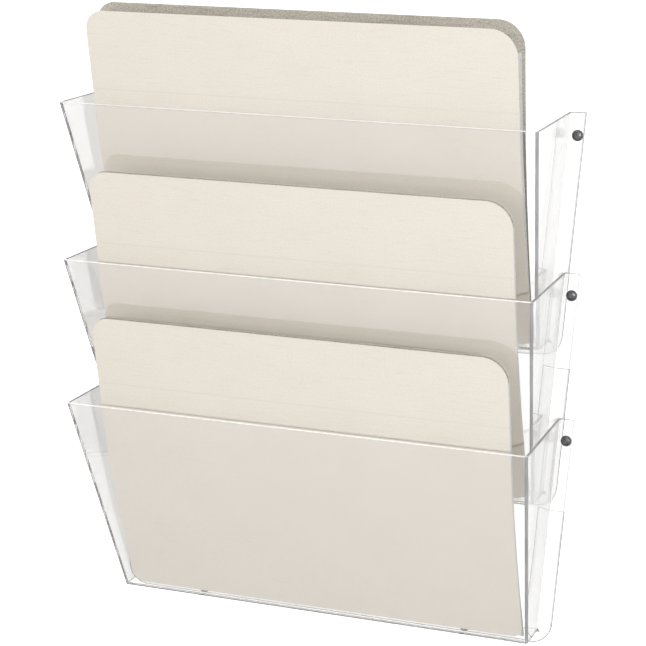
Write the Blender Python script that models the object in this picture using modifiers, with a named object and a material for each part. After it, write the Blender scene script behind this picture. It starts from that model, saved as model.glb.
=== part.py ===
"""Three-pocket wall file for letter folders, with a folder of papers standing in each pocket.

Each pocket is one clear moulding with an open back: a leaning front panel, two side walls, a
floor, and a flange turned out all round its back edges. Four pan-head screws hold it to the wall,
two through the flange and two through the lip under the floor. The pockets overlap, and where
they do their flanges meet in a half lap, so that every pocket lies flat on the wall.

Metres, +Z up. The wall is the plane y = 0 and the pockets stand out from it towards -Y. The
origin is the middle of the back of the top pocket's lip.
"""

from math import cos, pi, radians, sin, tan

import bmesh
import bpy
from mathutils import Matrix, Vector

MM = 0.001
GAP = 0.3 * MM  # left between pieces that touch
FLATNESS = 0.05 * MM

# Pocket, measured on the outside; heights are below the rim
RIM_HALF_FRONT = 166.3 * MM
RIM_HALF_BACK = 165.4 * MM
FLOOR_HALF_FRONT = 154.2 * MM
FLOOR_HALF_BACK = 154.4 * MM
RIM_DEPTH = 93.3 * MM
FLOOR_DEPTH = 28.9 * MM
FLOOR_DROP = 157.5 * MM
LIP_DROP = 167.5 * MM
FLANGE_HALF_TOP = 175.1 * MM
FLANGE_HALF_LIP = 163.3 * MM
FLANGE_CORNER = 15.0 * MM
WALL = 2.0 * MM
BEND_RADIUS = 2.5 * MM
SPARE = 8.0 * MM  # how far a skin or a cutter runs past what it is trimmed to

# Stacking: how far each rim lies below the top one, and the half lap between flanges
LEVELS = {"top": 0.0, "middle": 108.9 * MM, "bottom": 211.5 * MM}
LAP_HEIGHT = 67.5 * MM  # of the rebate behind the upper flange
LAP_DROP = 102.0 * MM  # where the rebate in front of the lower flange starts
LAP_INSET = 3.0 * MM  # from the side wall to that rebate

# Screws: pan heads with a cross recess
HEAD_RADIUS = 3.8 * MM
HEAD_HEIGHT = 2.7 * MM
HEAD_EDGE = 0.8 * MM
SHANK_RADIUS = 1.75 * MM
SHANK_LENGTH = 9.5 * MM
SHANK_TIP = 2.5 * MM
SCREW_STEPS = 16
HOLE_RADIUS = 2.1 * MM
RECESS_SPAN = 4.2 * MM
RECESS_WIDTH = 1.0 * MM
RECESS_DEPTH = 1.5 * MM
FLANGE_SCREW = (169.9 * MM, 15.4 * MM)  # half spacing, drop below the rim
LIP_SCREW = (101.2 * MM, 163.0 * MM)

# Folder: letter size, standing on its crease and bowed
FOLDER_HALF = 149.2 * MM
COVER_HEIGHT = 226.7 * MM
COVER_THICK = 0.6 * MM
CORNER_LEFT = 12.7 * MM
CORNER_RIGHT = 18.0 * MM
CORNER_FOOT = 9.0 * MM
CORNER_STEPS = 6
FOOT_Y = -21.9 * MM  # front face of the cover at the crease
FOOT_LEAN = radians(23.6)
BOW_RADIUS = 900.0 * MM
BOW_STEPS = 12
SPINE_WIDTH = 3.4 * MM
REAR_TURN = {"top": radians(4.15), "middle": radians(0.1), "bottom": radians(0.1)}

# Papers: sheets on their 11 in edge, pushed against the folder's right edge
SHEET_WIDTH = 279.4 * MM
SHEET_HEIGHT = 209.5 * MM
PAPERS_FOOT = 1.6 * MM
PAPERS_EDGE = 0.2 * MM  # short of the covers' right edge
PAPERS_TURN = {"top": radians(1.8), "middle": radians(0.05), "bottom": radians(0.05)}

CLEAR_PLASTIC = ((0.93, 0.94, 0.95, 1.0), 0.05, 0.0)
BLACK_SCREW = ((0.03, 0.03, 0.032, 1.0), 0.35, 0.6)
MANILA = ((0.84, 0.80, 0.72, 1.0), 0.8, 0.0)
PAPER = ((0.88, 0.88, 0.87, 1.0), 0.85, 0.0)


def clear_scene():
    for obj in list(bpy.data.objects):
        bpy.data.objects.remove(obj, do_unlink=True)


def new_collection(name):
    collection = bpy.data.collections.new(name)
    bpy.context.scene.collection.children.link(collection)
    return collection


def make_material(name, colour, roughness, metallic):
    material = bpy.data.materials.new(name)
    material.use_nodes = True
    shader = material.node_tree.nodes["Principled BSDF"]
    shader.inputs["Base Color"].default_value = colour
    shader.inputs["Roughness"].default_value = roughness
    shader.inputs["Metallic"].default_value = metallic
    return material


def between(start, end, share):
    return start + (end - start) * share


def object_from(name, bm, collection):
    mesh = bpy.data.meshes.new(name)
    bm.to_mesh(mesh)
    bm.free()
    obj = bpy.data.objects.new(name, mesh)
    collection.objects.link(obj)
    return obj


def box(name, low, high, collection):
    bm = bmesh.new()
    bmesh.ops.create_cube(bm, size=1.0)
    low, high = Vector(low), Vector(high)
    middle, size = (low + high) / 2, high - low
    for vert in bm.verts:
        vert.co = middle + Vector(a * b for a, b in zip(vert.co, size))
    return object_from(name, bm, collection)


def cylinder_along_y(name, x, z, radius, collection):
    bm = bmesh.new()
    turn = Matrix.Translation((x, 0.0, z)) @ Matrix.Rotation(pi / 2, 4, "X")
    bmesh.ops.create_cone(
        bm, cap_ends=True, segments=24, radius1=radius, radius2=radius, depth=4 * SPARE, matrix=turn
    )
    return object_from(name, bm, collection)


def add_boolean(obj, cutter, operation="DIFFERENCE"):
    cutter.hide_render = True
    cutter.display_type = "WIRE"
    modifier = obj.modifiers.new("cut by " + cutter.name, "BOOLEAN")
    modifier.object = cutter
    modifier.operation = operation
    modifier.solver = "EXACT"


def baked_mesh(obj, name):
    """The object's mesh with its modifiers applied."""
    bpy.context.view_layer.update()
    graph = bpy.context.evaluated_depsgraph_get()
    mesh = bpy.data.meshes.new_from_object(obj.evaluated_get(graph))
    mesh.name = name
    return mesh


def outline_prism(name, corners, radii, depth, collection):
    """A prism along Y whose front outline has the given corners, each rounded by its radius."""
    curve = bpy.data.curves.new(name, "CURVE")
    curve.dimensions = "2D"
    curve.fill_mode = "BOTH"
    curve.extrude = depth / 2
    points = []
    count = len(corners)
    for i, radius in enumerate(radii):
        corner = Vector(corners[i])
        before = (Vector(corners[i - 1]) - corner).normalized()
        after = (Vector(corners[(i + 1) % count]) - corner).normalized()
        half = before.angle(after) / 2
        centre = corner + (before + after).normalized() * radius / sin(half)
        first = corner + before * radius / tan(half) - centre
        last = corner + after * radius / tan(half) - centre
        for step in range(CORNER_STEPS + 1):
            arm = first.slerp(last, step / CORNER_STEPS).normalized()
            points.append(centre + arm * radius)
    spline = curve.splines.new("POLY")
    spline.points.add(len(points) - 1)
    for place, point in zip(spline.points, points):
        place.co = (point.x, point.y, 0.0, 1.0)
    spline.use_cyclic_u = True
    guide = bpy.data.objects.new(name + "_guide", curve)
    collection.objects.link(guide)
    guide.rotation_euler = (pi / 2, 0.0, 0.0)
    mesh = baked_mesh(guide, name)
    mesh.transform(guide.matrix_world)
    bpy.data.objects.remove(guide)
    bm = bmesh.new()
    bm.from_mesh(mesh)
    bmesh.ops.remove_doubles(bm, verts=bm.verts, dist=1e-6)
    bmesh.ops.recalc_face_normals(bm, faces=bm.faces)
    return object_from(name, bm, collection)


# ---------------------------------------------------------------- pocket


def side_half(z, front):
    """Half the pocket's outer width at a height under the rim."""
    rim, foot = (RIM_HALF_FRONT, FLOOR_HALF_FRONT) if front else (RIM_HALF_BACK, FLOOR_HALF_BACK)
    return between(rim, foot, -z / FLOOR_DROP)


def flange_half(z):
    return between(FLANGE_HALF_TOP, FLANGE_HALF_LIP, -z / LIP_DROP)


def front_depth(z):
    return between(RIM_DEPTH, FLOOR_DEPTH, -z / FLOOR_DROP)


def pocket_skin(collection):
    """The pocket's outer skin: a tapered box with no top or back, its back edges turned out."""
    bm = bmesh.new()
    bmesh.ops.create_cube(bm, size=1.0)
    for vert in bm.verts:
        side = 1 if vert.co.x > 0 else -1
        front = vert.co.y < 0
        z = SPARE if vert.co.z > 0 else -FLOOR_DROP
        y = -front_depth(z) if front else -WALL
        vert.co = (side * side_half(z, front), y, z)
    bm.faces.ensure_lookup_table()
    open_faces = [f for f in bm.faces if f.calc_center_median().y > -2 * WALL or f.normal.z > 0.5]
    bmesh.ops.delete(bm, geom=open_faces, context="FACES")

    def at_back(edge):
        return all(vert.co.y > -2 * WALL for vert in edge.verts)

    back = [edge for edge in bm.edges if at_back(edge)]
    turned = bmesh.ops.extrude_edge_only(bm, edges=back)["geom"]
    for vert in (v for v in turned if isinstance(v, bmesh.types.BMVert)):
        side = 1 if vert.co.x > 0 else -1
        z = SPARE if vert.co.z > 0 else -LIP_DROP
        vert.co = (side * flange_half(z), -WALL, z)
    corners = [v for v in bm.verts if v.co.z < -(FLOOR_DROP + LIP_DROP) / 2]
    mitres = [e for v in corners for e in v.link_edges if len(e.link_faces) == 2]
    bmesh.ops.dissolve_edges(bm, edges=mitres)
    bmesh.ops.bevel(
        bm, geom=corners, offset=FLANGE_CORNER, offset_type="OFFSET", segments=6, profile=0.5,
        affect="VERTICES"
    )
    bends = [e for e in bm.edges if at_back(e) and len(e.link_faces) == 2]
    bmesh.ops.bevel(
        bm, geom=bends, offset=BEND_RADIUS, offset_type="OFFSET", segments=4, profile=0.5,
        affect="EDGES"
    )
    bmesh.ops.recalc_face_normals(bm, faces=bm.faces)
    front_face = min(bm.faces, key=lambda f: f.calc_center_median().y)
    if front_face.normal.y > 0:
        bmesh.ops.reverse_faces(bm, faces=bm.faces)
    return object_from("pocket_form", bm, collection)


def lap_cutter(side, collection):
    """The rebate in front of one lower flange, along the side wall from LAP_DROP down."""
    bm = bmesh.new()
    bmesh.ops.create_cube(bm, size=1.0)
    for vert in bm.verts:
        z = -LAP_DROP if vert.co.z > 0 else -LIP_DROP - SPARE
        inner = side_half(z, False) + LAP_INSET
        outer = FLANGE_HALF_TOP + SPARE
        x = side * (inner if vert.co.x * side < 0 else outer)
        y = -WALL - SPARE if vert.co.y < 0 else -(WALL - GAP) / 2
        vert.co = (x, y, z)
    return object_from(f"lap_cutter_{side}", bm, collection)


def screw_places():
    """(name, x, z) of a pocket's screws, from its rim."""
    for kind, (half, drop) in (("flange", FLANGE_SCREW), ("lip", LIP_SCREW)):
        for side, sign in (("left", -1), ("right", 1)):
            yield f"{kind}_screw_{side}", sign * half, -drop


def pocket_mesh(cutters):
    form = pocket_skin(cutters)
    solid = form.modifiers.new("thickness", "SOLIDIFY")
    solid.thickness = WALL
    solid.offset = -1.0
    solid.use_even_offset = True
    far = FLANGE_HALF_TOP + SPARE
    trim = box("rim_trim", (-far, -RIM_DEPTH - 4 * SPARE, 0), (far, SPARE, 4 * SPARE), cutters)
    add_boolean(form, trim)
    behind = -(WALL + GAP) / 2
    rebate = box("back_rebate", (-far, behind, -LAP_HEIGHT), (far, SPARE, SPARE), cutters)
    add_boolean(form, rebate)
    for side in (-1, 1):
        add_boolean(form, lap_cutter(side, cutters))
    for name, x, z in screw_places():
        add_boolean(form, cylinder_along_y("hole_for_" + name, x, z, HOLE_RADIUS, cutters))
    mesh = baked_mesh(form, "pocket")
    # Solidify leaves the back a few microns out of flat.
    for vert in mesh.vertices:
        if vert.co.y > -FLATNESS:
            vert.co.y = 0.0
    bpy.data.objects.remove(form)
    return mesh


# ---------------------------------------------------------------- screw


def screw_mesh(cutters):
    """A pan-head screw, its head on +Z and the underside of the head at z = 0."""
    dome_steps = 4
    profile = [(0.0, HEAD_HEIGHT)]
    for step in range(1, dome_steps + 1):
        angle = pi / 2 * (1 - step / dome_steps)
        rise = (HEAD_HEIGHT - HEAD_EDGE) * sin(angle)
        profile.append((HEAD_RADIUS * cos(angle), HEAD_EDGE + rise))
    profile.append((HEAD_RADIUS, 0.0))
    profile.append((SHANK_RADIUS, 0.0))
    profile.append((SHANK_RADIUS, SHANK_TIP - SHANK_LENGTH))
    profile.append((0.0, -SHANK_LENGTH))
    bm = bmesh.new()
    verts = [bm.verts.new((r, 0.0, z)) for r, z in profile]
    for upper, lower in zip(verts, verts[1:]):
        bm.edges.new((upper, lower))
    blank = object_from("screw_form", bm, cutters)
    turn = blank.modifiers.new("turned", "SCREW")
    turn.steps = turn.render_steps = SCREW_STEPS
    turn.use_merge_vertices = True
    turn.merge_threshold = 1e-5
    half = RECESS_WIDTH / 2
    reach = RECESS_SPAN / 2
    low, high = HEAD_HEIGHT - RECESS_DEPTH, HEAD_HEIGHT + SPARE
    add_boolean(blank, box("recess_a", (-half, -reach, low), (half, reach, high), cutters))
    add_boolean(blank, box("recess_b", (-reach, -half, low), (reach, half, high), cutters))
    mesh = baked_mesh(blank, "pan_head_screw")
    bpy.data.objects.remove(blank)
    mesh.shade_smooth()
    mesh.set_sharp_from_angle(angle=radians(35))
    return mesh


# ---------------------------------------------------------------- folder


def bow(distance, turn, offset):
    """(y, z) on a bowed sheet: a distance up from the crease, turned back from the front cover
    and offset behind it. z is from the top of the pocket's floor."""
    lean = FOOT_LEAN - turn
    here = lean - distance / BOW_RADIUS
    y = FOOT_Y - BOW_RADIUS * (cos(here) - cos(lean)) + offset * cos(here)
    z = BOW_RADIUS * (sin(lean) - sin(here)) + offset * sin(here)
    return y, z


def sheet_rows(turn, offset, height, foot):
    """Points up a bowed sheet, from where it stands at a height above the floor."""
    lean = FOOT_LEAN - turn
    start = (foot - offset * sin(lean)) / cos(lean)
    steps = range(BOW_STEPS + 1)
    return [bow(between(start, height, step / BOW_STEPS), turn, offset) for step in steps]


def sheet_object(name, path, half, collection):
    """A sheet of card through a path of (y, z) points, with its thickness behind it."""
    bm = bmesh.new()
    bmesh.ops.create_grid(bm, x_segments=1, y_segments=len(path) - 1, size=1.0)
    rows = sorted({round(v.co.y, 5) for v in bm.verts})
    for vert in bm.verts:
        y, z = path[rows.index(round(vert.co.y, 5))]
        vert.co = (half * (1 if vert.co.x > 0 else -1), y, z)
    bmesh.ops.recalc_face_normals(bm, faces=bm.faces)
    highest = max(bm.faces, key=lambda f: f.calc_center_median().z)
    if highest.normal.y > 0:
        bmesh.ops.reverse_faces(bm, faces=bm.faces)
    obj = object_from(name, bm, collection)
    solid = obj.modifiers.new("card", "SOLIDIFY")
    solid.thickness = COVER_THICK
    solid.offset = -1.0
    solid.use_even_offset = True
    return obj


def cover_mesh(name, path, cutters):
    top = max(z for _, z in path)
    corners = [(-FOLDER_HALF, 0.0), (FOLDER_HALF, 0.0), (FOLDER_HALF, top), (-FOLDER_HALF, top)]
    radii = [CORNER_FOOT, CORNER_FOOT, CORNER_RIGHT, CORNER_LEFT]
    outline = outline_prism(name + "_outline", corners, radii, 4 * RIM_DEPTH, cutters)
    sheet = sheet_object(name + "_form", path, FOLDER_HALF + SPARE, cutters)
    add_boolean(sheet, outline, "INTERSECT")
    mesh = baked_mesh(sheet, name)
    bpy.data.objects.remove(sheet)
    return mesh


def front_cover_mesh(cutters):
    return cover_mesh("front_cover", sheet_rows(0.0, 0.0, COVER_HEIGHT, GAP), cutters)


def rear_cover_mesh(level, cutters):
    """The rear cover with the flat spine that runs forward from its foot."""
    inner = SPINE_WIDTH - COVER_THICK
    path = sheet_rows(REAR_TURN[level], inner, COVER_HEIGHT, GAP + COVER_THICK)
    spine_front = bow(0.0, 0.0, COVER_THICK + GAP)[0]
    path = [(spine_front, GAP + COVER_THICK)] + path
    return cover_mesh(level + "_rear_cover", path, cutters)


def papers_mesh(level, cutters):
    """A wedge of sheets, thin at the spine and fanned out at the top."""
    foot = 2 * GAP + COVER_THICK
    front = sheet_rows(0.0, COVER_THICK + GAP, SHEET_HEIGHT, foot)
    back = sheet_rows(PAPERS_TURN[level], COVER_THICK + GAP + PAPERS_FOOT, SHEET_HEIGHT, foot)
    right = FOLDER_HALF - PAPERS_EDGE
    bm = bmesh.new()
    bmesh.ops.create_cube(bm, size=1.0)
    uprights = [e for e in bm.edges if abs(e.verts[0].co.z - e.verts[1].co.z) > 0.5]
    bmesh.ops.subdivide_edges(bm, edges=uprights, cuts=BOW_STEPS - 1, use_grid_fill=True)
    for vert in bm.verts:
        row = round((vert.co.z + 0.5) * BOW_STEPS)
        y, z = front[row] if vert.co.y < 0 else back[row]
        vert.co = (right if vert.co.x > 0 else right - SHEET_WIDTH, y, z)
    mesh = bpy.data.meshes.new(level + "_papers")
    bm.to_mesh(mesh)
    bm.free()
    return mesh


# ---------------------------------------------------------------- assembly


def place(name, mesh, parent, location, rotation, material, collection):
    obj = bpy.data.objects.new(name, mesh)
    collection.objects.link(obj)
    obj.parent = parent
    obj.location = location
    obj.rotation_euler = rotation
    if not mesh.materials:
        mesh.materials.append(material)
    return obj


def main():
    clear_scene()
    parts = new_collection("wall_file")
    cutters = new_collection("cutters")
    plastic = make_material("clear_plastic", *CLEAR_PLASTIC)
    black = make_material("black_screw", *BLACK_SCREW)
    manila = make_material("manila_card", *MANILA)
    paper = make_material("paper", *PAPER)

    pocket = pocket_mesh(cutters)
    screw = screw_mesh(cutters)
    front_cover = front_cover_mesh(cutters)
    upright = (0.0, 0.0, 0.0)
    facing_out = (pi / 2, 0.0, 0.0)

    for level, drop in LEVELS.items():
        rim = bpy.data.objects.new(level + "_rim", None)
        rim.location = (0.0, 0.0, (LIP_DROP + FLOOR_DROP) / 2 - drop)
        parts.objects.link(rim)
        place(level + "_pocket", pocket, rim, upright, upright, plastic, parts)
        for name, x, z in screw_places():
            under_head = -WALL - GAP
            where = (x, under_head, z)
            place(f"{level}_{name}", screw, rim, where, facing_out, black, parts)
        # The covers turn about the crease, so each takes the crease as its origin.
        crease = Vector((0.0, FOOT_Y, 0.0))
        stand = crease + Vector((0.0, 0.0, WALL - FLOOR_DROP))
        covers = {
            "folder_front_cover": (front_cover.copy(), manila),
            "folder_rear_cover": (rear_cover_mesh(level, cutters), manila),
            "folder_papers": (papers_mesh(level, cutters), paper),
        }
        for name, (mesh, material) in covers.items():
            mesh.transform(Matrix.Translation(-crease))
            place(f"{level}_{name}", mesh, rim, stand, upright, material, parts)
    bpy.context.view_layer.update()


main()
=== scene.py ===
"""Looks of the three-pocket wall file: clear moulded pockets, manila folders, papers and screws.

Metres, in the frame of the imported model: +Z up, the wall at y = 0, the pockets towards -Y.
"""

import random
from math import cos, pi, radians, sin, sqrt, tan

import bmesh
import bpy
from mathutils import Matrix, Vector


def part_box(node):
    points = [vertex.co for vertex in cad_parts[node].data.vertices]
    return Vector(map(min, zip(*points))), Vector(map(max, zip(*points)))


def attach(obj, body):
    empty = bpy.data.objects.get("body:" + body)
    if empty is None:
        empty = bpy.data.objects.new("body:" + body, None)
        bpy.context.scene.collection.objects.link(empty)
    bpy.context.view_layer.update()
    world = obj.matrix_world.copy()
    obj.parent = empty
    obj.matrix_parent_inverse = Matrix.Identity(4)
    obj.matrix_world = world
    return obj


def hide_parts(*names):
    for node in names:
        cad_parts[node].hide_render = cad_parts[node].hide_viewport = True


MM = 0.001
LEVELS = ("top", "middle", "bottom")

# Pocket, measured on the outside; heights are below the rim
RIM_HALF_FRONT = 166.3 * MM
RIM_HALF_BACK = 165.4 * MM
FLOOR_HALF_FRONT = 154.2 * MM
FLOOR_HALF_BACK = 154.4 * MM
RIM_DEPTH = 93.3 * MM
FLOOR_DEPTH = 28.9 * MM
FLOOR_DROP = 157.5 * MM
LIP_DROP = 167.5 * MM
FLANGE_HALF_TOP = 175.1 * MM
FLANGE_HALF_LIP = 163.3 * MM
FLANGE_CORNER = 15.0 * MM
WALL = 2.0 * MM
BEND_RADIUS = 2.5 * MM
EDGE_ROUND = 0.4 * MM
CORNER_ROUND = 1.5 * MM  # between the front and a side
FLATNESS = 0.05 * MM
WELD = 0.01 * MM
SPARE = 8.0 * MM  # how far blanks and cutters run past a cut
GAP = 0.3 * MM
LAP_HEIGHT = 67.5 * MM  # behind the upper flange, where a pocket hangs above
LAP_DROP = {"top": 108.6 * MM, "middle": 102.3 * MM}  # in front of the lower flange
LAP_INSET = 3.0 * MM
HOLE_RADIUS = 2.1 * MM
FLANGE_SCREW = (169.9 * MM, 15.4 * MM)  # to the side of the middle, below the rim
LIP_SCREW = (101.2 * MM, 163.0 * MM)

# Folder: z from the top of the pocket's floor
FOLDER_HALF = 149.2 * MM
COVER_HEIGHT = 226.6 * MM
CAD_THICK = 0.6 * MM
CARD_THICK = 0.42 * MM
CARD_INSET = (CAD_THICK - CARD_THICK) / 2
CORNER_LEFT = 12.7 * MM
CORNER_RIGHT = 18.0 * MM
CORNER_FOOT = 9.0 * MM
FOOT_Y = -21.9 * MM
FOOT_LEAN = radians(23.6)
BOW_RADIUS = 900.0 * MM
SPINE_WIDTH = 3.4 * MM
SPINE_BEND = 1.0 * MM
REAR_TURN = {"top": radians(4.15), "middle": radians(0.1), "bottom": radians(0.1)}
# Painted shadow: a faint dark line across each front cover, where the pocket's rim casts its shadow.
RIM_SHADOW_HEIGHT = {"top": 172.0 * MM, "middle": 174.5 * MM, "bottom": 176.7 * MM}  # up the cover
RIM_SHADOW_HALF = 0.6 * MM

# Papers
SHEET_COUNT = 24
SHEET_WIDTH = 279.4 * MM
SHEET_HEIGHT = 209.5 * MM
SHEET_THICK = 0.09 * MM
PAPERS_FOOT = 1.6 * MM
PAPERS_TURN = {"top": radians(1.8), "middle": radians(0.05), "bottom": radians(0.05)}

# Screws
HEAD_RADIUS = 3.8 * MM
HEAD_HEIGHT = 2.7 * MM
HEAD_EDGE = 0.8 * MM
HEAD_CHAMFER = 0.15 * MM
CREST_RADIUS = 1.75 * MM
ROOT_RADIUS = 1.3 * MM
SHANK_LENGTH = 9.5 * MM
SHANK_TIP = 2.5 * MM
THREAD_PITCH = 1.27 * MM
SCREW_SIDES = 40
RECESS_TOP = (2.5 * MM, 0.62 * MM, 0.6 * MM)  # reach, half width, height over the crown
RECESS_FOOT = (0.9 * MM, 0.42 * MM, -1.7 * MM)

# Camera
CAMERA_AT = (0.4814, -1.3231, 0.3635)
CAMERA_TURN = (75.607, -0.375, 20.458)  # degrees
CAMERA_LENS = 114.53  # mm
CAMERA_SENSOR = 36.0  # mm

# Plastic: painted shade and painted highlight in its tones, and how much light goes through
PLASTIC_IOR = 1.55
PLASTIC_CLEARNESS = 0.945
SIDE_CLEARNESS = 0.93
# Painted shade: the side walls are drawn greyer from front to back, standing in for the shade near the
# back.
SIDE_PAINTED_SHADE = ((0.04, 0.88), (0.16, 0.78), (0.55, 0.76), (0.97, 0.72))  # front to back
# Painted shade: the pocket's edges are drawn grey, standing in for the dark look of light bent through
# them.
EDGE_PAINTED_SHADE = (0.3, 0.3, 0.305)
EDGE_CLEARNESS = 0.35
# Painted highlight: the front of the rim is drawn near white and mostly opaque, standing in for the
# light it catches.
RIM_PAINTED_HIGHLIGHT = (1.0, 0.99, 0.97)
RIM_CLEARNESS = 0.15

# Card: light tone, dark tone and flecks
WHITE = (1.0, 1.0, 1.0)
MANILA_OUTSIDE = ((0.745, 0.695, 0.622), (0.725, 0.675, 0.602), (0.94, 0.93, 0.92))
# Painted shade: the inside of the card is drawn darker than the outside, standing in for the shade
# inside the folder.
MANILA_INSIDE_PAINTED_SHADE = ((0.6, 0.56, 0.49), (0.49, 0.45, 0.39), (0.6, 0.585, 0.56))
# Partly a painted highlight: the cut edges are drawn paler, for the lighter fibre of a cut and for the
# light they catch.
MANILA_EDGE_FIBRE_AND_HIGHLIGHT = ((0.93, 0.9, 0.84), (0.88, 0.85, 0.79), (0.95, 0.95, 0.95))
# Painted shadow: the tone of the rim's shadow line on the covers.
RIM_SHADOW_TONE = (0.69, 0.64, 0.57, 1.0)

# Stage
FLOOR_BELOW = 0.45  # the origin
FLOOR_REACH = 14.0
FLOOR_TONE = (0.7, 0.7, 0.7)
FLOOR_GLOW = 1.0
WALL_Y = 0.5 * MM
WALL_REACH = 0.5
WALL_RISE = 0.4
WALL_TONE = (0.97, 0.97, 0.97)
WALL_GLOW = 0.24
WORLD_LIGHT = 0.59
WORLD_TINT = (1.0, 0.975, 0.94, 1.0)
WORLD_SEEN = 1.05
MIRRORED_SHADES = ((0.15, (0.35, 0.35, 0.35)), (0.33, WHITE))  # from below to above
LIGHTS = (  # name, place, size, watts, colour
    ("key", (1.42, -2.5, 0.55), 0.06, 48.0, (0.92, 0.96, 1.0)),
    ("fill", (-1.2, -2.6, 0.3), 1.6, 12.0, (1.0, 0.96, 0.92)),
    ("top", (-0.4, -0.9, 2.4), 1.6, 11.0, (1.0, 0.97, 0.94)),
    ("rim", (-1.05, 2.73, 1.0), 1.6, 22.0, (1.0, 0.99, 0.97)),
)


# ---------------------------------------------------------------- materials


def new_material(name):
    material = bpy.data.materials.new(name)
    material.use_nodes = True
    tree = material.node_tree
    return material, tree, tree.nodes["Principled BSDF"]


def add_node(tree, kind, **values):
    """A node, its sockets set by name: spaces in a socket's name are underscores here."""
    node = tree.nodes.new(kind)
    for name, value in values.items():
        node.inputs[name.replace("_", " ")].default_value = value
    return node


def add_noise(tree, place, **values):
    """A noise texture read at a place, such as an object or UV output."""
    noise = add_node(tree, "ShaderNodeTexNoise", **values)
    tree.links.new(place, noise.inputs["Vector"])
    return noise.outputs["Fac"]


def add_bump(tree, shader, height, strength, distance):
    bump = add_node(tree, "ShaderNodeBump", Strength=strength, Distance=distance)
    tree.links.new(height, bump.inputs["Height"])
    tree.links.new(bump.outputs["Normal"], shader.inputs["Normal"])


def ramp(tree, source, stops):
    """A colour ramp through (position, colour) stops."""
    node = tree.nodes.new("ShaderNodeValToRGB")
    elements = node.color_ramp.elements
    while len(elements) < len(stops):
        elements.new(0.5)
    for element, (position, colour) in zip(elements, stops):
        element.position = position
        element.color = (*colour, 1.0)
    tree.links.new(source, node.inputs["Fac"])
    return node.outputs["Color"]


def mix_colour(tree, factor, first, second, blend="MIX"):
    node = tree.nodes.new("ShaderNodeMix")
    node.data_type = "RGBA"
    node.blend_type = blend
    for socket, value in ((node.inputs[0], factor), (node.inputs[6], first), (node.inputs[7], second)):
        if isinstance(value, bpy.types.NodeSocket):
            tree.links.new(value, socket)
        else:
            socket.default_value = value
    return node.outputs[2]


def clear_plastic(name, clearness, painted_shades=None):
    """Clear polystyrene. Light from lamps and off paper passes straight through it. The painted
    shade, if any, greys the moulding from its front at 0 to its back at 1, standing in for shade."""
    material, tree, shader = new_material(name)
    shader.inputs["Base Color"].default_value = (*WHITE, 1.0)
    shader.inputs["Roughness"].default_value = 0.0
    shader.inputs["IOR"].default_value = PLASTIC_IOR
    shader.inputs["Transmission Weight"].default_value = 1.0
    place = add_node(tree, "ShaderNodeTexCoord")
    wave = add_noise(tree, place.outputs["Object"], Scale=26.0, Detail=1.0)
    add_bump(tree, shader, wave, 0.25, 0.05 * MM)
    # Painted shade: a grey ramp along the depth darkens the side walls towards the back.
    if painted_shades:
        split = tree.nodes.new("ShaderNodeSeparateXYZ")
        tree.links.new(place.outputs["Object"], split.inputs[0])
        depth = tree.nodes.new("ShaderNodeMapRange")
        depth.inputs["From Min"].default_value = -RIM_DEPTH
        depth.inputs["From Max"].default_value = 0.0
        tree.links.new(split.outputs["Y"], depth.inputs["Value"])
        stops = [(share, (tone, tone, tone)) for share, tone in painted_shades]
        tree.links.new(ramp(tree, depth.outputs[0], stops), shader.inputs["Base Color"])
    clear = add_node(tree, "ShaderNodeBsdfTransparent", Color=(*[clearness] * 3, 1.0))
    path = tree.nodes.new("ShaderNodeLightPath")
    either = tree.nodes.new("ShaderNodeMath")
    either.operation = "MAXIMUM"
    tree.links.new(path.outputs["Is Shadow Ray"], either.inputs[0])
    tree.links.new(path.outputs["Is Diffuse Ray"], either.inputs[1])
    mix = tree.nodes.new("ShaderNodeMixShader")
    tree.links.new(either.outputs[0], mix.inputs[0])
    tree.links.new(shader.outputs[0], mix.inputs[1])
    tree.links.new(clear.outputs[0], mix.inputs[2])
    tree.links.new(mix.outputs[0], tree.nodes["Material Output"].inputs["Surface"])
    return material


def edge_plastic(name, painted_tone, clearness):
    """The same plastic along an edge, rough so that it scatters a little light, in a painted tone:
    painted shade where it is grey, a painted highlight where it is pale.
    """
    material, tree, shader = new_material(name)
    shader.inputs["Roughness"].default_value = 0.6
    shader.inputs["IOR"].default_value = PLASTIC_IOR
    shader.inputs["Transmission Weight"].default_value = clearness
    place = add_node(tree, "ShaderNodeTexCoord")
    cloud = add_noise(tree, place.outputs["Object"], Scale=60.0, Detail=1.0)
    paler = tuple(between(part, 1.0, 0.12) for part in painted_tone)
    tone = ramp(tree, cloud, ((0.35, painted_tone), (0.65, paler)))
    tree.links.new(tone, shader.inputs["Base Color"])
    return material


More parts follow.
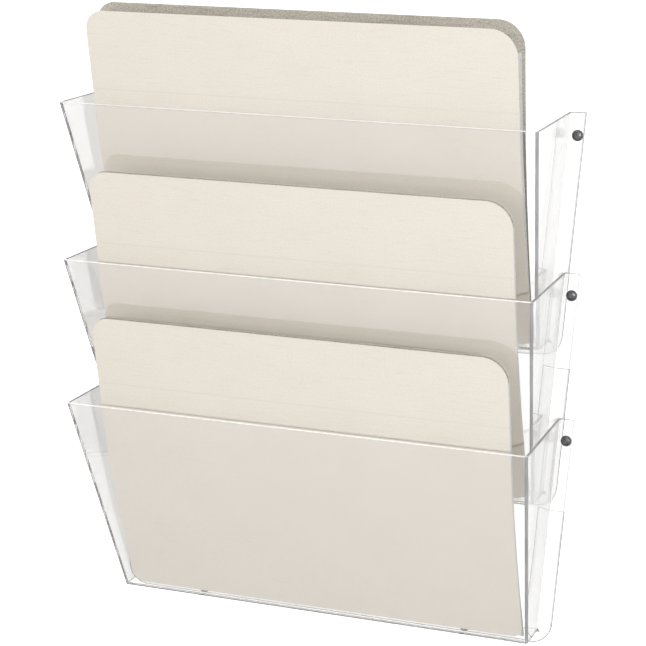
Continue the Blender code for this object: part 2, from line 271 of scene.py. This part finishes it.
def card(name, light, dark, fleck):
    """Uncoated card: a mottled tone, fine fibres and a shallow tooth."""
    material, tree, shader = new_material(name)
    shader.inputs["Roughness"].default_value = 0.82
    shader.inputs["Specular IOR Level"].default_value = 0.3
    shader.inputs["Sheen Weight"].default_value = 0.08
    shader.inputs["Sheen Roughness"].default_value = 0.5
    place = add_node(tree, "ShaderNodeTexCoord")
    cloud = add_noise(tree, place.outputs["UV"], Scale=22.0, Detail=3.0, Roughness=0.6)
    tone = ramp(tree, cloud, ((0.3, dark), (0.7, light)))
    tooth = add_noise(tree, place.outputs["UV"], Scale=900.0, Detail=2.0, Roughness=0.65)
    speckle = ramp(tree, tooth, ((0.32, fleck), (0.6, WHITE)))
    toned = mix_colour(tree, 1.0, tone, speckle, "MULTIPLY")
    stretch = add_node(tree, "ShaderNodeMapping", Scale=(60.0, 700.0, 1.0), Rotation=(0.0, 0.0, 0.5))
    tree.links.new(place.outputs["UV"], stretch.inputs["Vector"])
    fibre = add_noise(tree, stretch.outputs[0], Scale=1.0, Detail=2.0, Distortion=1.2)
    fibre_tone = ramp(tree, fibre, ((0.28, fleck), (0.45, WHITE)))
    colour = mix_colour(tree, 0.6, toned, fibre_tone, "MULTIPLY")
    tree.links.new(colour, shader.inputs["Base Color"])
    add_bump(tree, shader, tooth, 0.35, 0.06 * MM)
    return material


def card_with_painted_rim_shadow(level):
    """The outside of a folder: manila card with one faint painted shadow line of the pocket's rim across
    it.
    """
    material = card(f"manila_outside_{level}", *MANILA_OUTSIDE)
    tree = material.node_tree
    shader = tree.nodes["Principled BSDF"]
    colour = shader.inputs["Base Color"].links[0].from_socket
    place = add_node(tree, "ShaderNodeTexCoord")
    split = tree.nodes.new("ShaderNodeSeparateXYZ")
    tree.links.new(place.outputs["UV"], split.inputs[0])
    line = tree.nodes.new("ShaderNodeMath")
    line.operation = "COMPARE"
    line.inputs[1].default_value = RIM_SHADOW_HEIGHT[level]
    line.inputs[2].default_value = RIM_SHADOW_HALF
    tree.links.new(split.outputs["Y"], line.inputs[0])
    shadowed = mix_colour(tree, line.outputs[0], colour, RIM_SHADOW_TONE)
    tree.links.new(shadowed, shader.inputs["Base Color"])
    return material


def white_paper():
    """Office paper with a fine grain, drawn grey as painted shade for the papers standing in the
    folder's shade.
    """
    material, tree, shader = new_material("white_paper")
    shader.inputs["Roughness"].default_value = 0.85
    place = add_node(tree, "ShaderNodeTexCoord")
    cloud = add_noise(tree, place.outputs["Object"], Scale=500.0, Detail=3.0)
    tone = ramp(tree, cloud, ((0.35, (0.6, 0.6, 0.585)), (0.65, (0.7, 0.7, 0.685))))
    tree.links.new(tone, shader.inputs["Base Color"])
    add_bump(tree, shader, cloud, 0.2, 0.02 * MM)
    return material


def black_screw():
    """Black phosphate on steel, worn brighter by noise."""
    material, tree, shader = new_material("black_screw")
    shader.inputs["Metallic"].default_value = 0.7
    place = add_node(tree, "ShaderNodeTexCoord")
    grain = add_noise(tree, place.outputs["Object"], Scale=900.0, Detail=4.0, Roughness=0.7)
    tone = ramp(tree, grain, ((0.35, (0.06, 0.06, 0.062)), (0.75, (0.2, 0.2, 0.205))))
    tree.links.new(tone, shader.inputs["Base Color"])
    rough = ramp(tree, grain, ((0.3, (0.5, 0.5, 0.5)), (0.7, (0.32, 0.32, 0.32))))
    tree.links.new(rough, shader.inputs["Roughness"])
    add_bump(tree, shader, grain, 0.3, 0.05 * MM)
    return material


# ---------------------------------------------------------------- mesh helpers


def between(start, end, share):
    return start + (end - start) * share


def object_from(name, bm):
    mesh = bpy.data.meshes.new(name)
    bm.to_mesh(mesh)
    bm.free()
    obj = bpy.data.objects.new(name, mesh)
    bpy.context.scene.collection.objects.link(obj)
    return obj


def box(name, low, high):
    bm = bmesh.new()
    bmesh.ops.create_cube(bm, size=1.0)
    low, high = Vector(low), Vector(high)
    middle, size = (low + high) / 2, high - low
    for vert in bm.verts:
        vert.co = middle + Vector(a * b for a, b in zip(vert.co, size))
    return object_from(name, bm)


def cylinder_along_y(name, x, z, radius):
    bm = bmesh.new()
    turn = Matrix.Translation((x, 0.0, z)) @ Matrix.Rotation(pi / 2, 4, "X")
    bmesh.ops.create_cone(
        bm, cap_ends=True, segments=48, radius1=radius, radius2=radius, depth=4 * SPARE, matrix=turn
    )
    return object_from(name, bm)


def cut(obj, cutters):
    """Adds a Boolean for each cutter; baked_mesh applies them."""
    for cutter in cutters:
        modifier = obj.modifiers.new(cutter.name, "BOOLEAN")
        modifier.object = cutter
        modifier.operation = "DIFFERENCE"
        modifier.solver = "EXACT"


def baked_mesh(obj, name, spent=()):
    """The object's mesh with its modifiers applied. It and the spent cutters are removed."""
    bpy.context.view_layer.update()
    graph = bpy.context.evaluated_depsgraph_get()
    mesh = bpy.data.meshes.new_from_object(obj.evaluated_get(graph))
    mesh.name = name
    for used in (obj, *spent):
        bpy.data.objects.remove(used)
    return mesh


def add_piece(name, mesh, body, slot, materials, *replaced):
    """Links a mesh as a visible piece that rides on a body and stands for CAD nodes."""
    obj = bpy.data.objects.new(name, mesh)
    bpy.context.scene.collection.objects.link(obj)
    if not mesh.materials:
        for material in materials:
            mesh.materials.append(material)
    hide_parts(*replaced)
    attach(obj, body)
    return obj


# ---------------------------------------------------------------- pocket


# A pocket's material slots: its body, its edges, the front of its rim and its side walls
CLEAR, EDGE, RIM, SIDE = range(4)


def side_half(z, front):
    """Half the pocket's outer width at a height under the rim."""
    rim, foot = (RIM_HALF_FRONT, FLOOR_HALF_FRONT) if front else (RIM_HALF_BACK, FLOOR_HALF_BACK)
    return between(rim, foot, -z / FLOOR_DROP)


def flange_half(z):
    return between(FLANGE_HALF_TOP, FLANGE_HALF_LIP, -z / LIP_DROP)


def pocket_skin():
    """The pocket's outer skin: a tapered box with no top or back, its back edges turned out."""
    bm = bmesh.new()
    bmesh.ops.create_cube(bm, size=1.0)
    for vert in bm.verts:
        side = 1 if vert.co.x > 0 else -1
        front = vert.co.y < 0
        z = SPARE if vert.co.z > 0 else -FLOOR_DROP
        y = -between(RIM_DEPTH, FLOOR_DEPTH, -z / FLOOR_DROP) if front else -WALL
        vert.co = (side * side_half(z, front), y, z)
    bm.faces.ensure_lookup_table()
    open_faces = [f for f in bm.faces if f.calc_center_median().y > -2 * WALL or f.normal.z > 0.5]
    bmesh.ops.delete(bm, geom=open_faces, context="FACES")

    def at_back(edge):
        return all(vert.co.y > -2 * WALL for vert in edge.verts)

    back = [edge for edge in bm.edges if at_back(edge)]
    turned = bmesh.ops.extrude_edge_only(bm, edges=back)["geom"]
    for vert in (v for v in turned if isinstance(v, bmesh.types.BMVert)):
        side = 1 if vert.co.x > 0 else -1
        z = SPARE if vert.co.z > 0 else -LIP_DROP
        vert.co = (side * flange_half(z), -WALL, z)
    corners = [v for v in bm.verts if v.co.z < -(FLOOR_DROP + LIP_DROP) / 2]
    mitres = [e for v in corners for e in v.link_edges if len(e.link_faces) == 2]
    bmesh.ops.dissolve_edges(bm, edges=mitres)
    bmesh.ops.bevel(
        bm, geom=corners, offset=FLANGE_CORNER, offset_type="OFFSET", segments=18, profile=0.5,
        affect="VERTICES"
    )
    bends = [e for e in bm.edges if at_back(e) and len(e.link_faces) == 2]
    bmesh.ops.bevel(
        bm, geom=bends, offset=BEND_RADIUS, offset_type="OFFSET", segments=10, profile=0.5,
        affect="EDGES"
    )
    bmesh.ops.recalc_face_normals(bm, faces=bm.faces)
    front_face = min(bm.faces, key=lambda f: f.calc_center_median().y)
    if front_face.normal.y > 0:
        bmesh.ops.reverse_faces(bm, faces=bm.faces)
    return object_from("pocket_form", bm)


def lap_cutter(side, drop):
    """The rebate in front of one lower flange, along the side wall from a drop below the rim."""
    bm = bmesh.new()
    bmesh.ops.create_cube(bm, size=1.0)
    for vert in bm.verts:
        z = -drop if vert.co.z > 0 else -LIP_DROP - SPARE
        inner = side_half(z, False) + LAP_INSET
        outer = FLANGE_HALF_TOP + SPARE
        x = side * (inner if vert.co.x * side < 0 else outer)
        y = -WALL - SPARE if vert.co.y < 0 else -(WALL - GAP) / 2
        vert.co = (x, y, z)
    return object_from(f"lap_cutter_{side}", bm)


def face_slot(face):
    """The material of a pocket's face: CLEAR, EDGE, RIM or SIDE. The bevels come as EDGE."""
    x, y, z = face.center
    near = 2 * EDGE_ROUND
    if z > -EDGE_ROUND and y < EDGE_ROUND - RIM_DEPTH and abs(x) < RIM_HALF_BACK / 2:
        return RIM
    if abs(z) < FLATNESS:
        return RIM if y < WALL - RIM_DEPTH else EDGE
    # Across the flange the edges of the laps and holes stay clear.
    outline = z > -near or z < FLANGE_CORNER - LIP_DROP or abs(x) > flange_half(z) - near
    if y > -WALL - EDGE_ROUND and not outline:
        return CLEAR
    if y > -WALL and abs(face.normal.y) < 0.5:
        return EDGE
    if face.material_index == CLEAR and abs(face.normal.x) > 0.9 and y < -WALL - BEND_RADIUS:
        return SIDE
    return face.material_index


def is_outer_corner(edge):
    """Whether an edge runs down the outside of the pocket between its front and a side."""
    for vert in edge.verts:
        x, y, z = vert.co
        outer = abs(abs(x) - side_half(z, True)) < FLATNESS
        if not outer or abs(-y - between(RIM_DEPTH, FLOOR_DEPTH, -z / FLOOR_DROP)) > FLATNESS:
            return False
    return edge.verts[0].co.x * edge.verts[1].co.x > 0.0


def pocket_mesh(level, materials):
    """One pocket with its rim at z = 0 and every edge rounded. Its flanges are halved only where
    they meet a neighbour's."""
    form = pocket_skin()
    solid = form.modifiers.new("thickness", "SOLIDIFY")
    solid.thickness = WALL
    solid.offset = -1.0
    solid.use_even_offset = True
    far = FLANGE_HALF_TOP + SPARE
    behind = -(WALL + GAP) / 2
    cutters = [box("rim_trim", (-far, -RIM_DEPTH - 4 * SPARE, 0), (far, SPARE, 4 * SPARE))]
    if level != LEVELS[0]:
        cutters.append(box("back_rebate", (-far, behind, -LAP_HEIGHT), (far, SPARE, SPARE)))
    if level in LAP_DROP:
        cutters += [lap_cutter(side, LAP_DROP[level]) for side in (-1, 1)]
    for half, drop in (FLANGE_SCREW, LIP_SCREW):
        for side in (-1, 1):
            cutters.append(cylinder_along_y(f"hole_{half}_{side}", side * half, -drop, HOLE_RADIUS))
    cut(form, cutters)
    mesh = baked_mesh(form, "pocket_blank", cutters)
    # The back lies truly flat on the wall.
    for vert in mesh.vertices:
        if vert.co.y > -FLATNESS:
            vert.co.y = 0.0
    bm = bmesh.new()
    bm.from_mesh(mesh)
    bmesh.ops.remove_doubles(bm, verts=bm.verts, dist=WELD)
    bmesh.ops.dissolve_limit(bm, angle_limit=radians(0.3), verts=bm.verts, edges=bm.edges)
    # The front of the rim ends where the side walls' rims start.
    geometry = bm.verts[:] + bm.edges[:] + bm.faces[:]
    rim_back = (0.0, WALL - RIM_DEPTH, 0.0)
    bmesh.ops.bisect_plane(bm, geom=geometry, plane_co=rim_back, plane_no=(0.0, 1.0, 0.0))
    bmesh.ops.bevel(
        bm, geom=[e for e in bm.edges if is_outer_corner(e)], offset=CORNER_ROUND, offset_type="OFFSET",
        segments=4, profile=0.5, affect="EDGES", material=EDGE
    )
    rounded = object_from("pocket_rounded", bm)
    for material in materials:
        rounded.data.materials.append(material)
    edge = rounded.modifiers.new("edges", "BEVEL")
    edge.width = EDGE_ROUND
    edge.segments = 3
    edge.material = EDGE
    edge.limit_method = "ANGLE"
    edge.angle_limit = radians(32)
    edge.use_clamp_overlap = False
    flat = rounded.modifiers.new("flat_faces", "WEIGHTED_NORMAL")
    flat.mode = "FACE_AREA"
    flat.weight = 90
    rounded.data.shade_smooth()
    mesh = baked_mesh(rounded, "pocket")
    for face in mesh.polygons:
        face.material_index = face_slot(face)
    return mesh


def add_pockets(materials):
    for level in LEVELS:
        node = f"{level}_pocket"
        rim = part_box(node)[1].z
        mesh = pocket_mesh(level, materials)
        mesh.transform(Matrix.Translation((0.0, 0.0, rim)))
        add_piece(f"{level}_clear_pocket", mesh, "wall_file", "clear_plastic", materials, node)


# ---------------------------------------------------------------- folder


def bow(distance, turn, offset):
    """(y, z) on a bowed sheet: a distance up from the crease, turned back from the front cover
    and offset behind it. z is from the top of the pocket's floor."""
    lean = FOOT_LEAN - turn
    here = lean - distance / BOW_RADIUS
    y = FOOT_Y - BOW_RADIUS * (cos(here) - cos(lean)) + offset * cos(here)
    z = BOW_RADIUS * (sin(lean) - sin(here)) + offset * sin(here)
    return Vector((0.0, y, z))


def corner_cut(radius, depth):
    """How far a rounded corner draws the edge in, at a depth from the sheet's end."""
    if depth >= radius:
        return 0.0
    return radius - sqrt(max(0.0, radius**2 - (radius - depth) ** 2))


def eased(start, end, steps, both=False):
    """Values from start to end, closer together near the end, or near both."""
    for step in range(steps + 1):
        share = step / steps
        curve = (1 - cos(pi * share)) / 2 if both else sin(pi / 2 * share)
        yield between(start, end, curve)


def card_mesh(name, path, heights, top, faces_front):
    """A sheet of card through a path of points, cut to the folder's outline. The path is its
    front face. Material 0 is the folder's outside, 1 its inside and 2 its cut edges."""
    columns = 28
    bm = bmesh.new()
    flat = bm.loops.layers.uv.new("flat")
    place = {}
    sides = ([], [])
    for i, point in enumerate(path):
        before = path[max(i - 1, 0)]
        after = path[min(i + 1, len(path) - 1)]
        along = (after - before).normalized()
        behind = Vector((0.0, along.z, -along.y))
        near_foot = corner_cut(CORNER_FOOT, point.z)
        left = -FOLDER_HALF + max(near_foot, corner_cut(CORNER_LEFT, top - point.z))
        right = FOLDER_HALF - max(near_foot, corner_cut(CORNER_RIGHT, top - point.z))
        for rows, shift in zip(sides, (0.0, CARD_THICK)):
            row = []
            for j in range(columns + 1):
                x = between(left, right, j / columns)
                vert = bm.verts.new(point + behind * shift + Vector((x, 0.0, 0.0)))
                place[vert] = (x, heights[i])
                row.append(vert)
            rows.append(row)
    front, back = sides
    outside, inside = (0, 1) if faces_front else (1, 0)
    last = len(path) - 1
    quads = []
    for i in range(last):
        for j in range(columns):
            quads.append((outside, (front[i][j], front[i][j + 1], front[i + 1][j + 1], front[i + 1][j])))
            quads.append((inside, (back[i][j + 1], back[i][j], back[i + 1][j], back[i + 1][j + 1])))
        for j, turned in ((0, False), (columns, True)):
            edge = (front[i][j], front[i + 1][j], back[i + 1][j], back[i][j])
            quads.append((2, edge[::-1] if turned else edge))
    for i, turned in ((0, False), (last, True)):
        for j in range(columns):
            edge = (front[i][j + 1], front[i][j], back[i][j], back[i][j + 1])
            quads.append((2, edge[::-1] if turned else edge))
    for slot, corners in quads:
        face = bm.faces.new(corners)
        face.material_index = slot
        face.smooth = True
        for loop in face.loops:
            loop[flat].uv = place[loop.vert]
    mesh = bpy.data.meshes.new(name)
    bm.to_mesh(mesh)
    bm.free()
    mesh.set_sharp_from_angle(angle=radians(50))
    return mesh


def cover_distances(start):
    """Distances up a cover from its foot, close together where the corners are round."""
    foot, head = CORNER_FOOT, COVER_HEIGHT - CORNER_RIGHT
    distances = list(eased(foot, start, 10))[::-1]
    distances += [between(foot, head, step / 36) for step in range(1, 36)]
    distances += list(eased(head, COVER_HEIGHT, 22))
    return distances


def front_cover_mesh():
    distances = cover_distances((GAP - CARD_INSET * sin(FOOT_LEAN)) / cos(FOOT_LEAN))
    path = [bow(distance, 0.0, CARD_INSET) for distance in distances]
    return card_mesh("front_cover", path, distances, path[-1].z, True)


def rear_cover_mesh(level):
    """The rear cover and the spine, which turns up into it with a round bend."""
    turn = REAR_TURN[level]
    lean = FOOT_LEAN - turn
    offset = SPINE_WIDTH - CAD_THICK + CARD_INSET
    spine_z = GAP + CARD_THICK + CARD_INSET
    # The straight part of the cover starts where the bend ends.
    sweep = pi / 2 + lean
    corner = (spine_z - offset * sin(lean)) / cos(lean)
    start = corner + SPINE_BEND * tan(sweep / 2)
    upright = [bow(distance, turn, offset) for distance in cover_distances(start)]
    normal = Vector((0.0, -cos(lean), -sin(lean)))
    centre = upright[0] + normal * SPINE_BEND
    bend = []
    for step in range(8):
        angle = sweep * (1 - step / 8)
        arm = Vector((0.0, cos(lean), sin(lean))) * SPINE_BEND
        bend.append(centre + Matrix.Rotation(-angle, 3, "X") @ arm)
    spine_front = bow(0.0, 0.0, CAD_THICK + GAP).y
    first = Vector((0.0, spine_front, bend[0].z))
    path = [first, between(first, bend[0], 0.5), *bend, *upright]
    heights = [0.0]
    for before, after in zip(path, path[1:]):
        heights.append(heights[-1] + (after - before).length)
    return card_mesh(f"{level}_rear_cover", path, heights, path[-1].z, False)


def papers_mesh(level):
    """Loose sheets in one mesh, together at the spine and fanned out at the top."""
    draw = random.Random(f"{level} papers")
    rows = 14
    bm = bmesh.new()
    foot = 2 * GAP + CAD_THICK
    for sheet in range(SHEET_COUNT):
        share = sheet / (SHEET_COUNT - 1)
        turn = PAPERS_TURN[level] * min(1.0, max(0.0, share + draw.uniform(-0.02, 0.02)))
        room = PAPERS_FOOT - SHEET_THICK
        offset = CAD_THICK + GAP + room * share
        lean = FOOT_LEAN - turn
        low = (foot - offset * sin(lean)) / cos(lean)
        high = SHEET_HEIGHT - draw.uniform(0.0, 1.2) * MM
        right = FOLDER_HALF - draw.uniform(-0.2, 0.5) * MM
        left = right - SHEET_WIDTH
        rings = []
        for step in range(rows + 1):
            distance = between(low, high, step / rows)
            ring = []
            for x, back in ((left, 0.0), (right, 0.0), (right, SHEET_THICK), (left, SHEET_THICK)):
                point = bow(distance, turn, offset + back)
                ring.append(bm.verts.new((x, point.y, point.z)))
            rings.append(ring)
        for lower, upper in zip(rings, rings[1:]):
            for k in range(4):
                bm.faces.new((lower[k], lower[(k + 1) % 4], upper[(k + 1) % 4], upper[k]))
        bm.faces.new(rings[0][::-1])
        bm.faces.new(rings[-1])
    mesh = bpy.data.meshes.new(f"{level}_sheets")
    bm.to_mesh(mesh)
    bm.free()
    mesh.shade_smooth()
    mesh.set_sharp_from_angle(angle=radians(50))
    return mesh


def add_folders(inside, edge_fibre_and_highlight, paper):
    for level in LEVELS:
        outside = card_with_painted_rim_shadow(level)
        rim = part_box(f"{level}_pocket")[1].z
        stand = Matrix.Translation((0.0, 0.0, rim + WALL - FLOOR_DROP))
        folder, front = f"{level}_folder", f"{level}_folder_front"
        for kind, mesh, body, slot, materials in (
            ("front_cover", front_cover_mesh(), front, "manila_card", [outside, inside, edge_fibre_and_highlight]),
            ("rear_cover", rear_cover_mesh(level), folder, "manila_card", [outside, inside, edge_fibre_and_highlight]),
            ("papers", papers_mesh(level), folder, "white_paper", [paper]),
        ):
            mesh.transform(stand)
            name = f"{level}_{kind}_sheet" if kind != "papers" else f"{level}_paper_sheets"
            add_piece(name, mesh, body, slot, materials, f"{level}_folder_{kind}")


# ---------------------------------------------------------------- screws


def thread_radius(depth, turn):
    """The threaded shank's radius at a depth under the head and a turn from 0 to 1."""
    ridge = abs(((depth / THREAD_PITCH - turn) % 1.0) - 0.5) * 2
    ridge = max(0.0, 1.0 - 1.6 * ridge)
    radius = between(ROOT_RADIUS, CREST_RADIUS, ridge)
    point = (SHANK_LENGTH - depth) / SHANK_TIP
    return radius * min(1.0, max(0.0, point))


def screw_profile():
    """(height, radius function) rings from the crown of the head down to the point."""
    rings = []
    for step in range(1, 9):
        angle = pi / 2 * (1 - step / 8)
        rise = (HEAD_HEIGHT - HEAD_EDGE) * sin(angle)
        rings.append((HEAD_EDGE + rise, lambda turn, r=HEAD_RADIUS * cos(angle): r))
    rings.append((HEAD_CHAMFER, lambda turn: HEAD_RADIUS))
    rings.append((0.0, lambda turn: HEAD_RADIUS - HEAD_CHAMFER))
    rings.append((0.0, lambda turn: CREST_RADIUS))
    steps = round(SHANK_LENGTH / THREAD_PITCH * 10)
    for step in range(1, steps):
        depth = SHANK_LENGTH * step / steps
        rings.append((-depth, lambda turn, d=depth: thread_radius(d, turn)))
    return rings


def screw_mesh():
    """A pan-head screw with a cross recess and a thread, its head on +Z."""
    bm = bmesh.new()
    crown = bm.verts.new((0.0, 0.0, HEAD_HEIGHT))
    rows = []
    for z, radius in screw_profile():
        row = []
        for side in range(SCREW_SIDES):
            turn = side / SCREW_SIDES
            r = radius(turn)
            row.append(bm.verts.new((r * cos(2 * pi * turn), r * sin(2 * pi * turn), z)))
        rows.append(row)
    point = bm.verts.new((0.0, 0.0, -SHANK_LENGTH))
    for side in range(SCREW_SIDES):
        after = (side + 1) % SCREW_SIDES
        bm.faces.new((crown, rows[0][side], rows[0][after]))
        bm.faces.new((point, rows[-1][after], rows[-1][side]))
        for upper, lower in zip(rows, rows[1:]):
            bm.faces.new((upper[side], lower[side], lower[after], upper[after]))
    blank = object_from("screw_form", bm)
    cutters = [recess_blade("recess_a", False), recess_blade("recess_b", True)]
    cut(blank, cutters)
    mesh = baked_mesh(blank, "pan_head_screw", cutters)
    mesh.shade_smooth()
    mesh.set_sharp_from_angle(angle=radians(38))
    return mesh


def recess_blade(name, turned):
    """One blade of the cross recess, narrowing towards its foot."""
    bm = bmesh.new()
    bmesh.ops.create_cube(bm, size=1.0)
    for vert in bm.verts:
        reach, half, rise = RECESS_TOP if vert.co.z > 0 else RECESS_FOOT
        x = reach if vert.co.x > 0 else -reach
        y = half if vert.co.y > 0 else -half
        z = HEAD_HEIGHT + rise
        vert.co = (-y, x, z) if turned else (x, y, z)
    return object_from(name, bm)


def add_screws(black):
    blank = screw_mesh()
    draw = random.Random("screws")
    for level in LEVELS:
        for kind in ("flange", "lip"):
            for side in ("left", "right"):
                node = f"{level}_{kind}_screw_{side}"
                low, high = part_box(node)
                head = Vector(((low.x + high.x) / 2, high.y - SHANK_LENGTH, (low.z + high.z) / 2))
                driven = Matrix.Rotation(draw.uniform(0.0, pi / 2), 4, "Z")
                mesh = blank.copy()
                mesh.transform(Matrix.Translation(head) @ Matrix.Rotation(pi / 2, 4, "X") @ driven)
                name = f"{level}_{kind}_pan_head_{side}"
                screw = add_piece(name, mesh, "wall_file", "black_screw", [black], node)
                # Out of the side walls' mirror images, and casting no shade on the wall behind
                screw.visible_glossy = False
                screw.visible_diffuse = False
                screw.visible_shadow = False


# ---------------------------------------------------------------- stage


def backdrop(name, corners, colour, glow):
    """A flat stage panel through four corners, dull and faintly glowing."""
    material, tree, shader = new_material(name)
    shader.inputs["Base Color"].default_value = (*colour, 1.0)
    shader.inputs["Roughness"].default_value = 1.0
    shader.inputs["Specular IOR Level"].default_value = 0.0
    shader.inputs["Emission Color"].default_value = (*WHITE, 1.0)
    shader.inputs["Emission Strength"].default_value = glow
    bm = bmesh.new()
    bm.faces.new([bm.verts.new(corner) for corner in corners])
    panel = object_from(name, bm)
    panel.data.materials.append(material)
    return panel


def add_stage():
    signs = ((-1, -1), (1, -1), (1, 1), (-1, 1))
    corners = [(a * FLOOR_REACH, b * FLOOR_REACH, -FLOOR_BELOW) for a, b in signs]
    floor = backdrop("studio_floor", corners, FLOOR_TONE, FLOOR_GLOW)
    floor.visible_diffuse = False
    floor.visible_glossy = False
    # The wall the file hangs on shows only through its plastic, as in a cut-out picture.
    corners = [(a * WALL_REACH, WALL_Y, b * WALL_RISE) for a, b in signs]
    wall = backdrop("mounting_wall", corners, WALL_TONE, WALL_GLOW)
    wall.visible_camera = False
    wall.visible_diffuse = False
    wall.visible_shadow = False


def add_world():
    """White to the camera, straight or through plastic. As a source of light it is softer, and
    reflections find it grey below."""
    world = bpy.data.worlds.new("studio")
    bpy.context.scene.world = world
    world.use_nodes = True
    tree = world.node_tree
    soft = tree.nodes["Background"]
    soft.inputs["Color"].default_value = WORLD_TINT
    soft.inputs["Strength"].default_value = WORLD_LIGHT
    place = tree.nodes.new("ShaderNodeTexCoord")
    split = tree.nodes.new("ShaderNodeSeparateXYZ")
    tree.links.new(place.outputs["Generated"], split.inputs[0])
    height = tree.nodes.new("ShaderNodeMapRange")
    height.inputs["From Min"].default_value = -1.0
    tree.links.new(split.outputs["Z"], height.inputs["Value"])
    mirrored = tree.nodes.new("ShaderNodeBackground")
    shade = ramp(tree, height.outputs[0], MIRRORED_SHADES)
    tree.links.new(shade, mirrored.inputs["Color"])
    white = add_node(tree, "ShaderNodeBackground", Color=(*WHITE, 1.0), Strength=WORLD_SEEN)
    path = tree.nodes.new("ShaderNodeLightPath")
    seen = tree.nodes.new("ShaderNodeMath")
    seen.operation = "MAXIMUM"
    tree.links.new(path.outputs["Is Camera Ray"], seen.inputs[0])
    tree.links.new(path.outputs["Is Transmission Ray"], seen.inputs[1])
    light = soft.outputs[0]
    for factor, kind in ((path.outputs["Is Glossy Ray"], mirrored), (seen.outputs[0], white)):
        mix = tree.nodes.new("ShaderNodeMixShader")
        tree.links.new(factor, mix.inputs[0])
        tree.links.new(light, mix.inputs[1])
        tree.links.new(kind.outputs[0], mix.inputs[2])
        light = mix.outputs[0]
    tree.links.new(light, tree.nodes["World Output"].inputs["Surface"])


def add_light(name, location, size, power, colour):
    """A square lamp that points at the origin and stays out of the picture."""
    lamp = bpy.data.lights.new(name, "AREA")
    lamp.size = size
    lamp.energy = power
    lamp.color = colour
    obj = bpy.data.objects.new(name, lamp)
    obj.location = location
    obj.rotation_euler = (-obj.location).to_track_quat("-Z", "Y").to_euler()
    obj.visible_camera = False
    bpy.context.scene.collection.objects.link(obj)


def add_camera():
    lens = bpy.data.cameras.new("camera")
    lens.lens = CAMERA_LENS
    lens.sensor_width = CAMERA_SENSOR
    obj = bpy.data.objects.new("camera", lens)
    obj.location = CAMERA_AT
    obj.rotation_euler = [radians(angle) for angle in CAMERA_TURN]
    bpy.context.scene.collection.objects.link(obj)
    bpy.context.scene.camera = obj


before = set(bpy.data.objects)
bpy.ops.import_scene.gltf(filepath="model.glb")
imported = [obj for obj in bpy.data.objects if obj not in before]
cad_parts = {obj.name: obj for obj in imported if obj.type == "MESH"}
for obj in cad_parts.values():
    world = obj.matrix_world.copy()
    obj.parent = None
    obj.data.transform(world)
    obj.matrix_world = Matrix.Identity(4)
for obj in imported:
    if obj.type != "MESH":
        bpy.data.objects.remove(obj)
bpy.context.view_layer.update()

add_camera()
add_stage()
add_world()
for light in LIGHTS:
    add_light(*light)
bpy.context.scene.view_settings.view_transform = "Standard"
# Light trapped in a clear wall bounces many times before it leaves at an edge.
cycles = bpy.context.scene.cycles
cycles.max_bounces = 32
cycles.transmission_bounces = 32
cycles.glossy_bounces = 24
cycles.transparent_max_bounces = 32

# Painted light on the pockets: shade on the edges, a highlight along the front of the rim, shade towards
# the back of the side walls.
painted_shade_edge = edge_plastic("plastic_edge_painted_shade", EDGE_PAINTED_SHADE, EDGE_CLEARNESS)
painted_highlight_rim = edge_plastic("plastic_rim_painted_highlight", RIM_PAINTED_HIGHLIGHT, RIM_CLEARNESS)
side_wall_painted_shade = clear_plastic("clear_side_wall_painted_shade", SIDE_CLEARNESS, SIDE_PAINTED_SHADE)
add_pockets([clear_plastic("clear_plastic", PLASTIC_CLEARNESS), painted_shade_edge, painted_highlight_rim, side_wall_painted_shade])
# The inside card carries painted shade; the cut edges are paler partly as a painted highlight.
painted_shade_inner_card = card("manila_inside_painted_shade", *MANILA_INSIDE_PAINTED_SHADE)
edge_fibre_highlight_card = card("manila_edge_fibre_and_highlight", *MANILA_EDGE_FIBRE_AND_HIGHLIGHT)
add_folders(painted_shade_inner_card, edge_fibre_highlight_card, white_paper())
add_screws(black_screw())
